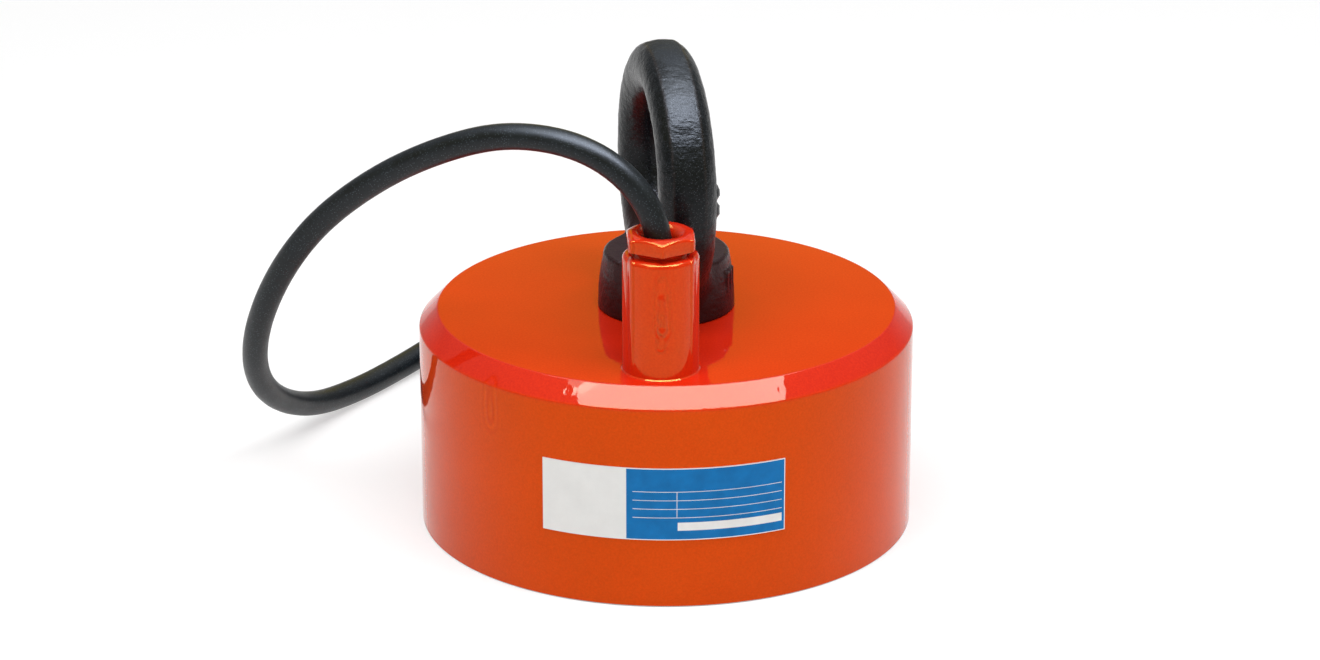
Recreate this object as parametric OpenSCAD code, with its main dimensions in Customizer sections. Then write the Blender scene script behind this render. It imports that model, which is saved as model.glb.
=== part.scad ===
// Round lifting electromagnet with a forged eye bolt and a two-core cord.
// The attracting face lies at z = 0 and the front faces -Y, through the cable boss.
// All sizes are in millimetres.

/* [Body] */
// Outside diameter of the pot
body_d = 200; // [190:1:240]
// Height of the pot from the attracting face to its top
body_h = 90; // [84:1:110]
// Width of the 45 degree chamfer round the top
top_chamfer = 7.5; // [2:0.5:8]
// Width of the small chamfer round the attracting face
edge_break = 0.6; // [0.2:0.1:1.5]
// Thickness of the steel above the coil window
top_plate_t = 25; // [22:1:30]

/* [Poles] */
// Diameter of the centre pole
core_d = 98; // [90:1:104]
// Wall of the outer pole, at the coil window
rim_t = 13; // [10:0.5:14]
// Thickness of the non-magnetic ring between the poles
face_ring_t = 5.5; // [4:0.5:8]
// Depth of that ring below the attracting face
face_recess = 0.5; // [0.2:0.1:1]
// Width of the seat on which the ring bears
face_seat = 1; // [0.8:0.1:1.5]

/* [Coil] */
// Wall of the coil former's tube
former_wall = 1.5; // [1:0.1:2.5]
// Thickness of the coil former's flanges
flange_t = 2; // [1.5:0.1:3]
// Resin between the former's flanges and the outer pole
resin_wall = 2.8; // [2:0.1:4]
// How far the flanges stand past the winding
flange_lip = 2; // [1.5:0.1:3]
// Thickness of the tape round the winding
tape_t = 0.8; // [0.4:0.1:1.2]
// Height of the space above the former, where the leads are spliced
splice_space = 7; // [6.5:0.5:10]

/* [Eye bolt] */
// Mean diameter of the ring
ring_d = 84.5; // [80:0.5:92]
// Thickness of the ring's round bar
bar_d = 23; // [20:0.5:25]
// Height of the ring's centre above the top of the pot
ring_h = 56; // [54:0.5:60]
// Angle of the ring's plane from the front, turned towards +X
ring_turn = 13; // [0:1:45]
// Depth of the flat band left round the ring where the flash was trimmed off
flash_depth = 0.5; // [0.2:0.1:1]
// Diameter of the collar at its foot
collar_d = 55.2; // [52:0.2:60]
// Diameter of the collar at its top
collar_top_d = 51; // [48:0.5:52]
// Height of the collar
collar_h = 24; // [20:0.5:25]
// Round on the collar's top edge
collar_round = 2.5; // [1:0.5:4]
// Nominal diameter of the thread
thread_d = 30; // [24:1:36]
// Length of the shank below the collar
shank_l = 45; // [35:1:48]
// Height of the raised pads left by the forging die
pad_h = 0.7; // [0.4:0.1:1.2]

/* [Cable boss] */
// Diameter of the boss
boss_d = 30; // [28:0.5:32]
// Height of the boss above the pot
boss_h = 47.5; // [44:0.5:55]
// Distance of the boss's axis from the side of the pot
boss_inset = 27.5; // [26:0.5:30]
// Round on the boss's top edge
boss_round = 2; // [1:0.1:2.5]
// Width of the weld fillet round the boss's foot
boss_foot = 0.5; // [0.3:0.1:3]
// Diameter of the spigot that locates the boss in the top plate
spigot_d = 24; // [20:0.5:25]
// Depth of the spigot in the top plate
spigot_h = 10; // [6:0.5:14]

/* [Gland] */
// Width of the gland nut across its flats
nut_af = 26; // [24:0.5:28]
// Height of the gland nut's hexagon
nut_h = 6.2; // [5:0.1:9]
// Gap left between the nut and the boss
nut_gap = 2.5; // [1:0.1:4]
// Angle by which the nut is turned
nut_turn = 4.75; // [0:0.25:60]
// Length of the nut's threaded shank
nut_shank_l = 10.5; // [6:0.5:14]
// Diameter of the stuffing bore and its thread
stuffing_d = 21; // [20:0.5:22]
// Radius of the nut's bell mouth
bell_r = 5.5; // [4.5:0.1:6]
// Length of the rubber packing
packing_l = 12; // [8:0.5:14]
// Thickness of the two washers
washer_t = 1.5; // [1:0.1:2]

/* [Leads] */
// Diameter of the cord's cores
core_lead_d = 2.8; // [2:0.1:2.9]
// Distance between the cores
core_pitch = 3; // [3:0.1:3.4]
// Bore of the insulating bush
bush_bore = 7; // [6.6:0.1:7.4]
// Wall of the insulating bush
bush_wall = 1.4; // [1:0.1:1.6]
// Radius of the cores' bends
lead_bend = 4; // [3.5:0.1:4.5]
// Diameter of the splice sleeves
sleeve_d = 4.4; // [4:0.1:5]
// Length of the splice sleeves
sleeve_l = 9; // [7:0.5:10]
// Diameter of the winding's own leads
tail_d = 1.8; // [1.4:0.1:2.2]
// Length of the inner lead, from its core's axis to where it goes down into the winding
inner_lead_l = 39; // [38:0.5:44]

/* [Nameplate] */
// Length of the plate along the wall
plate_w = 98; // [60:1:120]
// Height of the plate
plate_h = 30; // [20:1:35]
// Thickness of the plate
plate_t = 0.4; // [0.3:0.1:1]
// Height of the plate's lower edge
plate_z = 28.7; // [10:0.1:35]
// Angle of the plate's middle from the front
plate_turn = 1.1; // [-10:0.1:10]

/* [Cord] */
// Diameter of the cord's sheath
cord_d = 10.5; // [8:0.5:10.5]
// Diameter of the stored coil at the middle of its turns
coil_mean_d = 120; // [105:1:126]
// Thickness of the tie round the coil
tie_t = 1; // [0.6:0.1:1.4]
// Width of the tie
tie_w = 4.8; // [3:0.1:8]

/* [Connector] */
// Diameter of the coupling ring, on which the connector rests
coupling_d = 27; // [25:0.5:30]
// Length of the coupling ring
coupling_l = 15; // [12:0.5:20]
// Diameter of the connector's barrel
barrel_d = 20; // [18:0.5:21]
// Length of the barrel between the clamp nut and the coupling ring
barrel_l = 14; // [10:0.5:20]
// Diameter of the spigot that carries the contacts
plug_d = 17; // [15:0.5:17]
// Length of the spigot in front of the barrel
plug_l = 13; // [12:0.5:14]
// Width of the clamp nut across its flats
clamp_af = 20; // [19:0.5:22]
// Length of the clamp nut
clamp_l = 9; // [7:0.5:12]
// Length of the rubber boot behind the clamp nut
boot_l = 22; // [18:1:30]
// Diameter of the contact pins
pin_d = 2.5; // [2:0.1:3]
// Distance between the contact pins
pin_pitch = 7; // [5:0.1:8]
// How far the contact pins stand out
pin_out = 8; // [5:0.5:10]

/* [Hidden] */
$fn = 96;
// Overlap of a cutting solid past the face that it cuts
cut = 1;

// Radial clearance of the pieces that are pressed or screwed together
press_gap = 0.05;
thread_gap = 0.1;
// Clearance between the coil's pieces, and of the leads in their channels
coil_gap = 0.1;
lead_gap = 0.2;
// Film of adhesive under the nameplate
glue = 0.1;
// Clearance of the packing, the washers and the nut round the cord
packing_gap = 0.1;
washer_gap = 0.4;
nut_bore_gap = 1.15;

// Coil window between the poles, from its seat for the face ring to the top plate
body_r = body_d / 2;
core_r = core_d / 2;
window_r = body_r - rim_t;
window_top = body_h - top_plate_t;
seat_z = face_recess + face_ring_t;
former_r = core_r + 1;
flange_r = window_r - resin_wall;
winding_r0 = former_r + former_wall + coil_gap;
winding_r1 = flange_r - flange_lip;
former_z0 = seat_z + coil_gap;
former_z1 = window_top - splice_space;
winding_z1 = former_z1 - flange_t - coil_gap;

// Eye bolt
ring_r = ring_d / 2;
bar_r = bar_d / 2;
ring_z = body_h + ring_h;
shank_d = thread_d - 2 * thread_gap;
shank_chamfer = 2.5;
relief_l = 4;
relief_depth = 2;
foot_break = 0.5;
tapping_depth = shank_l + 3;

// Gland, from the nut down to the floor of the stuffing bore
boss_y = body_r - boss_inset;
boss_z = body_h + boss_h;
nut_z = boss_z + nut_gap;
nut_bore_r = cord_d / 2 + nut_bore_gap;
packing_z1 = nut_z - nut_shank_l - washer_t;
packing_z0 = packing_z1 - packing_l;
stuffing_z = packing_z0 - washer_t;
lead_bore_r = bush_bore / 2 + bush_wall + thread_gap + 1;

// Leads: cores down the bush, bent over into the splice space, then to the winding
splice_z = former_z1 + splice_space / 2;
core_end_z = packing_z0 + 1;
bush_r = bush_bore / 2 + bush_wall;
bush_flange_r = bush_r + 0.8;
bush_flange_t = 1.2;
bush_z0 = splice_z + lead_bend - 1;
// The winding's own leads rise this far inside its outer and its inner side
tail_inset = 3;
outer_tail_x = sqrt(pow(winding_r1 - tail_inset, 2) - pow(boss_y, 2));
outer_reach = outer_tail_x - core_pitch / 2;
// The inner lead runs slantwise across the coil: it's turned from the pot's axis by the angle
// that brings its end over the winding's inner side
inner_start = [-core_pitch / 2, -boss_y];
inner_start_r = norm(inner_start);
inner_end_r = winding_r0 + tail_inset;
inner_lead_angle = atan2(boss_y, core_pitch / 2) + acos(
    (pow(inner_start_r, 2) + pow(inner_lead_l, 2) - pow(inner_end_r, 2)) / (2 * inner_start_r * inner_lead_l)
);
// Where the splices start along the two leads, measured from the core's own axis
splice_x = lead_bend + 3;
splice_grip = 3;

// Nameplate
plate_r = body_r + glue;
plate_angle = plate_w / plate_r * 180 / PI;

// The cord's route from inside the gland to the coil, chosen by hand
cord_sides = 12;
cord_route = [
    [0, -72.5, 117], [0, -72.5, 130], [-0.5, -72.5, 140], [-2, -72.5, 148.5], [-5.8, -72.3, 157.5],
    [-12.2, -71.6, 166.1], [-21.6, -69.8, 173.5], [-33.7, -66.5, 178.4], [-47.9, -61.5, 180],
    [-64.7, -54.5, 177.8], [-83.3, -46, 170.6], [-103.1, -36.1, 159.3], [-123, -25.8, 144],
    [-139.8, -16.9, 127], [-152.5, -10, 109], [-162, -1, 89.5], [-168, 10.5, 70.5],
    [-170.5, 24, 53], [-169.5, 39, 38], [-165.5, 55, 26], [-159.5, 72, 16.8], [-152, 90, 10.2],
    [-143.5, 107.5, 6.8], [-134, 124.5, 5.5], [-124.5, 141.5, 5.3], [-115.3, 158, 5.7],
    [-106.5, 175, 6.4]
];
// The last stretch, from the coil into the connector, chosen by hand
tail_route = [[20, 221, 15.9], [31, 214.7, 13.9], [42, 208.3, 13.5], [54, 201.4, 13.5], [63, 196.2, 13.5]];

// The stored coil: two turns beside and two on each other, lifted by the tie's thickness
coil_centre = [-36, 178];
coil_leave = 60;
bundle = 2 * cord_d;
tie_gap = 0.15;
tie_angle = 110;
coil_lift = tie_t + tie_gap;
coil_r0 = coil_mean_d / 2 - cord_d;
outer_turn_r = (coil_mean_d + cord_d) / 2;

// Connector: lies on its coupling ring, in line with the cord's last stretch
connector_run = 46;
connector_gap = 0.1;
boot_bore = cord_d + 0.6;
boot_d0 = boot_bore + 2.4;
boot_d1 = boot_bore + 5.4;
plug_wall = 1.4;
insert_r = plug_d / 2 - plug_wall - connector_gap;
barrel_x0 = boot_l + clamp_l;
coupling_x0 = barrel_x0 + barrel_l;
plug_x1 = coupling_x0 + plug_l;

// Corner of a section rounded with radius r, for a block from [x0, 0] to [x1, h]
module rounded_top_section(x0, x1, h, r) {
    translate([x0, 0])
        square([x1 - x0 - r, h]);
    translate([x0, 0])
        square([x1 - x0, h - r]);
    translate([x1 - r, h - r])
        circle(r, $fn = 48);
}

// Ring between two radii and two heights
module ring(r0, r1, z0, z1) {
    translate([0, 0, z0])
        difference() {
            cylinder(r = r1, h = z1 - z0);
            translate([0, 0, -cut])
                cylinder(r = r0, h = z1 - z0 + 2 * cut);
        }
}

// Moves a piece to the axis of the cable boss
module at_boss() {
    translate([0, -boss_y, 0])
        children();
}

// Turned and enamelled steel pot: outer pole, centre pole and top plate
module magnet_yoke() {
    color([0.86, 0.3, 0.08])
        difference() {
            rotate_extrude()
                polygon([
                    [0, 0], [body_r - edge_break, 0], [body_r, edge_break], [body_r, body_h - top_chamfer],
                    [body_r - top_chamfer, body_h], [0, body_h]
                ]);
            ring(core_r, window_r, -cut, window_top);
            ring(core_r - face_seat, window_r + face_seat, -cut, seat_z);
            translate([0, 0, body_h - tapping_depth])
                cylinder(d = thread_d, h = tapping_depth + cut);
            translate([0, 0, body_h - tapping_depth - thread_d / 2 / tan(59)])
                cylinder(d1 = 0, d2 = thread_d, h = thread_d / 2 / tan(59));
            at_boss() {
                translate([0, 0, body_h - spigot_h])
                    cylinder(r = spigot_d / 2, h = spigot_h + cut);
                translate([0, 0, window_top - cut])
                    cylinder(r = bush_r + press_gap, h = top_plate_t);
            }
        }
}

// Moulded bobbin with a notch for each of the winding's leads
module coil_former() {
    color([0.16, 0.16, 0.17])
        difference() {
            union() {
                ring(former_r, former_r + former_wall, former_z0, former_z1);
                ring(former_r, flange_r, former_z0, former_z0 + flange_t);
                ring(former_r, flange_r, former_z1 - flange_t, former_z1);
            }
            at_outer_tail()
                translate([0, 0, winding_z1])
                    cylinder(d = tail_d + 2 * lead_gap, h = flange_t + 2 * cut);
            at_inner_tail()
                translate([0, 0, winding_z1])
                    cylinder(d = tail_d + 2 * lead_gap, h = flange_t + 2 * cut);
        }
}

// Enamelled copper wire, wound between the flanges
module coil_winding() {
    color([0.72, 0.38, 0.2])
        ring(winding_r0, winding_r1, former_z0 + flange_t, winding_z1);
}

// Glass tape wrapped round the winding
module winding_tape() {
    color([0.85, 0.8, 0.65])
        ring(
            winding_r1 + coil_gap,
            winding_r1 + coil_gap + tape_t,
            former_z0 + flange_t + coil_gap,
            winding_z1
        );
}

// Cast resin: a cap over the splices and a wall down the outside of the coil
module potting_resin() {
    color([0.3, 0.12, 0.08])
        difference() {
            union() {
                ring(core_r + coil_gap, window_r - coil_gap, former_z1 + coil_gap, window_top - coil_gap);
                ring(flange_r + coil_gap, window_r - coil_gap, former_z0, former_z1 + coil_gap);
            }
            at_boss()
                translate([0, 0, splice_z - core_lead_d / 2])
                    cylinder(r = bush_r + lead_gap, h = splice_space);
            outer_channel();
            inner_channel();
        }
}

// Non-magnetic ring that closes the coil window
module face_ring() {
    color([0.8, 0.66, 0.36])
        ring(
            core_r - face_seat + press_gap,
            window_r + face_seat - press_gap,
            face_recess,
            seat_z
        );
}

// Forged eye bolt: ring, collar and shank in one piece
module eye_bolt() {
    color([0.13, 0.14, 0.15])
        union() {
            translate([0, 0, ring_z])
                rotate([0, 0, ring_turn - 90])
                    eye_ring();
            eye_collar();
            eye_shank();
        }
}

// Ring in its own upright plane, with the trimmed band round its outside and one die pad
module eye_ring() {
    rotate([90, 0, 0]) {
        rotate_extrude()
            translate([ring_r, 0])
                intersection() {
                    circle(bar_r);
                    translate([-bar_r, -bar_r])
                        square([2 * bar_r - flash_depth, 2 * bar_r]);
                }
        rotate([0, 0, -28])
            rotate_extrude(angle = 20)
                translate([ring_r - 3.5, -bar_r - pad_h])
                    square([7, bar_r]);
    }
}

// Collar with a slightly swelling side, a round on its top edge and one die pad on its side
module eye_collar() {
    side_h = collar_h - collar_round;
    round_r0 = collar_top_d / 2 - collar_round;
    translate([0, 0, body_h]) {
        rotate_extrude()
            polygon(concat(
                [[0, 0], [collar_d / 2 - foot_break, 0]],
                [
                    for (share = [0 : 0.125 : 1])
                        [collar_side_r(share), foot_break + (side_h - foot_break) * share]
                ],
                [
                    for (a = [15 : 15 : 90])
                        [round_r0 + collar_round * cos(a), side_h + collar_round * sin(a)]
                ],
                [[0, collar_h]]
            ));
        translate([0, 0, collar_h * 0.34])
            rotate([0, 0, -26])
                rotate_extrude(angle = 22)
                    square([collar_side_r(0.5) + pad_h, collar_h * 0.42]);
    }
}

// Radius of the collar's side at a share of its height: steepest at the top
function collar_side_r(share) = collar_d / 2 - (collar_d - collar_top_d) / 2 * share * share;

// Threaded shank with a relief under the collar and a chamfered end
module eye_shank() {
    r = shank_d / 2;
    translate([0, 0, body_h - shank_l])
        rotate_extrude()
            polygon([
                [0, 0], [r - shank_chamfer, 0], [r, shank_chamfer],
                [r, shank_l - relief_l - relief_depth], [r - relief_depth, shank_l - relief_l],
                [r - relief_depth, shank_l + cut], [0, shank_l + cut]
            ]);
}

// Round post, located by its spigot and welded round its foot, bored for the gland
module cable_boss() {
    color([0.86, 0.28, 0.08])
        at_boss()
            difference() {
                union() {
                    translate([0, 0, body_h])
                        rotate_extrude() {
                            rounded_top_section(0, boss_d / 2, boss_h, boss_round);
                            boss_foot_section();
                        }
                    translate([0, 0, body_h - spigot_h])
                        cylinder(r = spigot_d / 2 - press_gap, h = spigot_h + cut);
                }
                translate([0, 0, stuffing_z])
                    cylinder(d = stuffing_d, h = boss_z - stuffing_z + cut);
                translate([0, 0, boss_z - 0.8])
                    cylinder(d1 = stuffing_d, d2 = stuffing_d + 1.6 + 2 * cut, h = 0.8 + cut);
                translate([0, 0, body_h - spigot_h - cut])
                    cylinder(r = lead_bore_r, h = stuffing_z - body_h + spigot_h + 2 * cut);
            }
}

// Hollow fillet at the foot of the boss
module boss_foot_section() {
    difference() {
        square([boss_d / 2 + boss_foot, boss_foot]);
        translate([boss_d / 2 + boss_foot, boss_foot])
            circle(boss_foot, $fn = 48);
    }
}

// Hexagon gland screw with a bell mouth for the cord
module gland_nut() {
    color([0.86, 0.3, 0.08])
        at_boss()
            difference() {
                union() {
                    translate([0, 0, nut_z])
                        chamfered_hexagon(nut_af, nut_h);
                    translate([0, 0, nut_z - nut_shank_l])
                        cylinder(d = stuffing_d - 2 * thread_gap, h = nut_shank_l + cut);
                }
                translate([0, 0, nut_z - nut_shank_l - cut])
                    cylinder(r = nut_bore_r, h = nut_shank_l + nut_h + 2 * cut);
                translate([0, 0, nut_z + nut_h])
                    bell_mouth();
            }
}

// Hexagon prism whose upper corners are turned off at 30 degrees
module chamfered_hexagon(af, h) {
    corner = af / 2 / cos(30);
    drop = (corner - af / 2) * tan(30);
    intersection() {
        rotate([0, 0, nut_turn - 90])
            cylinder(r = corner, h = h, $fn = 6);
        union() {
            cylinder(r = corner + cut, h = h - drop);
            translate([0, 0, h - drop])
                cylinder(r1 = corner, r2 = af / 2, h = drop);
        }
    }
}

// Space that the bell mouth opens below z = 0: the bore plus a rounded flare
module bell_mouth() {
    depth = bell_r * 0.9;
    flare = bell_r - sqrt(bell_r * bell_r - depth * depth);
    difference() {
        translate([0, 0, -depth])
            cylinder(r = nut_bore_r + flare, h = depth + cut);
        translate([0, 0, -depth])
            rotate_extrude()
                translate([nut_bore_r + bell_r, 0])
                    circle(bell_r);
    }
}

module gland_washer_upper() {
    color([0.7, 0.72, 0.74])
        at_boss()
            ring(
                cord_d / 2 + washer_gap,
                stuffing_d / 2 - 2 * thread_gap,
                packing_z1,
                packing_z1 + washer_t
            );
}

module gland_packing() {
    color([0.1, 0.1, 0.1])
        at_boss()
            ring(cord_d / 2 + packing_gap, stuffing_d / 2 - thread_gap, packing_z0, packing_z1);
}

module gland_washer_lower() {
    color([0.7, 0.72, 0.74])
        at_boss()
            ring(cord_d / 2 + washer_gap, stuffing_d / 2 - 2 * thread_gap, stuffing_z, packing_z0);
}

// Flanged insulating bush through the top plate
module lead_bush() {
    floor_z = body_h - spigot_h;
    color([0.9, 0.88, 0.82])
        at_boss() {
            ring(bush_bore / 2, bush_r, bush_z0, floor_z + bush_flange_t);
            ring(bush_bore / 2, bush_flange_r, floor_z, floor_z + bush_flange_t);
        }
}

// One core: straight down from the cord's end, bent over, then straight along +X into its splice
module core_lead() {
    translate([0, 0, splice_z + lead_bend])
        cylinder(d = core_lead_d, h = core_end_z - splice_z - lead_bend, $fn = 24);
    translate([lead_bend, 0, splice_z + lead_bend])
        rotate([90, 0, 0])
            rotate([0, 0, 180])
                rotate_extrude(angle = 90)
                    translate([lead_bend, 0])
                        circle(d = core_lead_d, $fn = 24);
    translate([lead_bend, 0, splice_z])
        rotate([0, 90, 0])
            cylinder(d = core_lead_d, h = splice_x + splice_grip - lead_bend, $fn = 24);
}

// Places a lead that goes along the coil, to the winding's outside
module at_outer_core() {
    translate([core_pitch / 2, -boss_y, 0])
        children();
}

// Places a lead that goes slantwise across the coil, to the winding's inside
module at_inner_core() {
    translate([inner_start[0], inner_start[1], 0])
        rotate([0, 0, inner_lead_angle])
            children();
}

module at_outer_tail() {
    translate([outer_tail_x, -boss_y, 0])
        children();
}

module at_inner_tail() {
    at_inner_core()
        translate([inner_lead_l, 0, 0])
            children();
}

module core_lead_outer() {
    color([0.85, 0.85, 0.85])
        at_outer_core()
            core_lead();
}

module core_lead_inner() {
    color([0.12, 0.12, 0.12])
        at_inner_core()
            core_lead();
}

// Crimped sleeve, bored from one end for the core and from the other for the winding's lead
module splice_sleeve() {
    translate([splice_x, 0, splice_z])
        rotate([0, 90, 0])
            difference() {
                cylinder(d = sleeve_d, h = sleeve_l, $fn = 32);
                translate([0, 0, -cut])
                    cylinder(d = core_lead_d + 2 * press_gap, h = splice_grip + cut, $fn = 32);
                translate([0, 0, sleeve_l - splice_grip])
                    cylinder(d = tail_d + 2 * press_gap, h = splice_grip + cut, $fn = 32);
            }
}

module splice_sleeve_outer() {
    color([0.75, 0.45, 0.3])
        at_outer_core()
            splice_sleeve();
}

module splice_sleeve_inner() {
    color([0.75, 0.45, 0.3])
        at_inner_core()
            splice_sleeve();
}

// The winding's own lead: from the splice along +X to x1, bent down to the winding's top
module winding_lead(x1) {
    x0 = splice_x + sleeve_l - splice_grip;
    bend = min(2.5, splice_z - winding_z1 - 0.5);
    translate([x0, 0, splice_z])
        rotate([0, 90, 0])
            cylinder(d = tail_d, h = x1 - bend - x0, $fn = 24);
    translate([x1 - bend, 0, splice_z - bend])
        rotate([90, 0, 0])
            rotate_extrude(angle = 90)
                translate([bend, 0])
                    circle(d = tail_d, $fn = 24);
    translate([x1, 0, winding_z1])
        cylinder(d = tail_d, h = splice_z - bend - winding_z1, $fn = 24);
}

module coil_tail_outer() {
    color([0.7, 0.35, 0.15])
        at_outer_core()
            winding_lead(outer_reach);
}

module coil_tail_inner() {
    color([0.7, 0.35, 0.15])
        at_inner_core()
            winding_lead(inner_lead_l);
}

// Space left in the resin along one lead: round above, and open downwards to the former's flange
module lead_channel(x1) {
    half = sleeve_d / 2 + lead_gap;
    depth = splice_z - former_z1 + cut;
    translate([0, 0, splice_z])
        rotate([90, 0, 90])
            linear_extrude(x1 + tail_d) {
                circle(half, $fn = 48);
                translate([-half, -depth])
                    square([2 * half, depth]);
            }
}

module outer_channel() {
    at_outer_core()
        lead_channel(outer_reach);
}

module inner_channel() {
    at_inner_core()
        lead_channel(inner_lead_l);
}

// Thin aluminium plate bent to the wall and stuck on
module nameplate() {
    color([0.82, 0.82, 0.8])
        translate([0, 0, plate_z])
            rotate([0, 0, plate_turn - 90 - plate_angle / 2])
                rotate_extrude(angle = plate_angle, $fn = 180)
                    translate([plate_r, 0])
                        square([plate_t, plate_h]);
}

function unit(v) = v / norm(v);

// Direction of the path at each of its points
function directions(path) = [
    for (i = [0 : len(path) - 1])
        unit(path[min(i + 1, len(path) - 1)] - path[max(i - 1, 0)])
];

// A sideways direction at each point, carried along the path without twist
function sides_of(dirs, i = 0, last = [1, 0, 0]) =
    i == len(dirs) ? [] :
    let (side = unit(last - (last * dirs[i]) * dirs[i]))
    concat([side], sides_of(dirs, i + 1, side));

// Tube of n sides and radius r swept along the path
module swept_tube(path, r, n) {
    dirs = directions(path);
    sides = sides_of(dirs);
    last = len(path) - 1;
    points = [
        for (i = [0 : last])
            for (k = [0 : n - 1])
                path[i] + r * (cos(360 * k / n) * sides[i] + sin(360 * k / n) * cross(dirs[i], sides[i]))
    ];
    walls = [
        for (i = [0 : last - 1])
            for (k = [0 : n - 1])
                for (half = [0, 1])
                    let (a = i * n + k, b = i * n + (k + 1) % n)
                    half == 0 ? [a, a + n, b + n] : [a, b + n, b]
    ];
    start_cap = [for (k = [0 : n - 1]) k];
    end_cap = [for (k = [n - 1 : -1 : 0]) last * n + k];
    polyhedron(points, concat([start_cap, end_cap], walls));
}

// Rubber-sheathed cord from the packing, over in an arc, down to the floor and to the coil
module supply_cord() {
    color([0.1, 0.12, 0.13])
        swept_tube(cord_route, cord_d / 2, cord_sides);
}

// Section of a bundle of two by two turns, with round corners
module bundle_section(size, r) {
    translate([r, 0])
        square([size - 2 * r, size]);
    translate([0, r])
        square([size, size - 2 * r]);
    for (x = [r, size - r])
        for (y = [r, size - r])
            translate([x, y])
                circle(r, $fn = 48);
}

// Outer shape of the stored coil
module cord_coil() {
    color([0.1, 0.12, 0.13])
        translate([coil_centre[0], coil_centre[1], coil_lift])
            rotate_extrude()
                translate([coil_r0, 0])
                    bundle_section(bundle, cord_d / 2);
}

module cord_tail() {
    color([0.1, 0.12, 0.13])
        swept_tube(tail_route, cord_d / 2, cord_sides);
}

// Nylon tie round the bundle, with its head on the outside
module cord_tie() {
    inner = bundle + 2 * tie_gap;
    head = [4.5, 5.5, tie_w + 2];
    color([0.12, 0.12, 0.13])
        translate([coil_centre[0], coil_centre[1], 0])
            rotate([0, 0, tie_angle])
                translate([coil_r0 - tie_gap - tie_t, tie_w / 2, 0])
                    rotate([90, 0, 0]) {
                        linear_extrude(tie_w)
                            difference() {
                                bundle_section(inner + 2 * tie_t, cord_d / 2 + tie_gap + tie_t);
                                translate([tie_t, tie_t])
                                    bundle_section(inner, cord_d / 2 + tie_gap);
                            }
                        translate([inner + 2 * tie_t - 0.2, inner / 2, -1])
                            cube(head);
                    }
}

// Moves a piece of the connector, drawn along +X from its rear, to where it lies
module at_connector() {
    leave = [
        coil_centre[0] + outer_turn_r * cos(coil_leave),
        coil_centre[1] + outer_turn_r * sin(coil_leave)
    ];
    heading = coil_leave - 90;
    translate([leave[0], leave[1], coupling_d / 2])
        rotate([0, 0, heading])
            translate([connector_run, 0, 0])
                children();
}

// Turns a section, drawn with its radius along +X and its length along +Y, about the connector's axis
module turned() {
    rotate([0, 90, 0])
        rotate_extrude()
            children();
}

// Radius of the boot at a share of its length
function boot_r(share) = (boot_d0 + (boot_d1 - boot_d0) * share) / 2;

// Ribbed rubber boot, thinner towards the cord
module connector_boot() {
    grooves = 4;
    groove_w = 1.6;
    groove_depth = 0.6;
    color([0.1, 0.1, 0.1])
        at_connector()
            turned()
                difference() {
                    polygon([
                        [boot_bore / 2, 0], [boot_d0 / 2, 0], [boot_d1 / 2, boot_l], [boot_bore / 2, boot_l]
                    ]);
                    for (i = [1 : grooves])
                        translate([boot_r(i / (grooves + 1)) - groove_depth, i * boot_l / (grooves + 1)])
                            square([2, groove_w]);
                }
}

// Hexagon nut that clamps the cord
module connector_clamp_nut() {
    color([0.75, 0.76, 0.78])
        at_connector()
            translate([boot_l, 0, 0])
                rotate([0, 90, 0])
                    difference() {
                        intersection() {
                            rotate([0, 0, 30])
                                cylinder(r = clamp_af / 2 / cos(30), h = clamp_l, $fn = 6);
                            cylinder(d1 = clamp_af, d2 = clamp_af + 2 * clamp_l, h = clamp_l);
                        }
                        translate([0, 0, -cut])
                            cylinder(d = boot_bore, h = clamp_l + 2 * cut);
                    }
}

// Turned barrel with the spigot that carries the insert
module connector_shell() {
    color([0.75, 0.76, 0.78])
        at_connector()
            difference() {
                turned()
                    polygon([
                        [0, barrel_x0], [barrel_d / 2 - 0.6, barrel_x0], [barrel_d / 2, barrel_x0 + 0.6],
                        [barrel_d / 2, coupling_x0 + 2], [plug_d / 2, coupling_x0 + 2],
                        [plug_d / 2, plug_x1 - 0.5], [plug_d / 2 - 0.5, plug_x1], [0, plug_x1]
                    ]);
                translate([coupling_x0 + 3, 0, 0])
                    rotate([0, 90, 0])
                        cylinder(r = insert_r + connector_gap, h = plug_l);
            }
}

// Knurled coupling ring, captive on the barrel's shoulder
module connector_ring() {
    flutes = 24;
    flute_r = 1.2;
    color([0.75, 0.76, 0.78])
        at_connector()
            translate([coupling_x0 - 3, 0, 0])
                rotate([0, 90, 0])
                    difference() {
                        turned_coupling();
                        for (i = [0 : flutes - 1])
                            rotate([0, 0, (i + 0.5) * 360 / flutes])
                                translate([coupling_d / 2 + flute_r * 0.45, 0, 2])
                                    cylinder(r = flute_r, h = coupling_l - 4, $fn = 24);
                    }
}

// The coupling ring before knurling: chamfered ends, a rear lip and a wider threaded mouth
module turned_coupling() {
    r = coupling_d / 2;
    bore_r = barrel_d / 2 + connector_gap;
    mouth_r = barrel_d / 2 + 1.2;
    lip = 5.1;
    rotate_extrude()
        polygon([
            [bore_r, 0], [r - 1, 0], [r, 1], [r, coupling_l - 1], [r - 1, coupling_l],
            [mouth_r, coupling_l], [mouth_r, lip], [bore_r, lip]
        ]);
}

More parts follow.
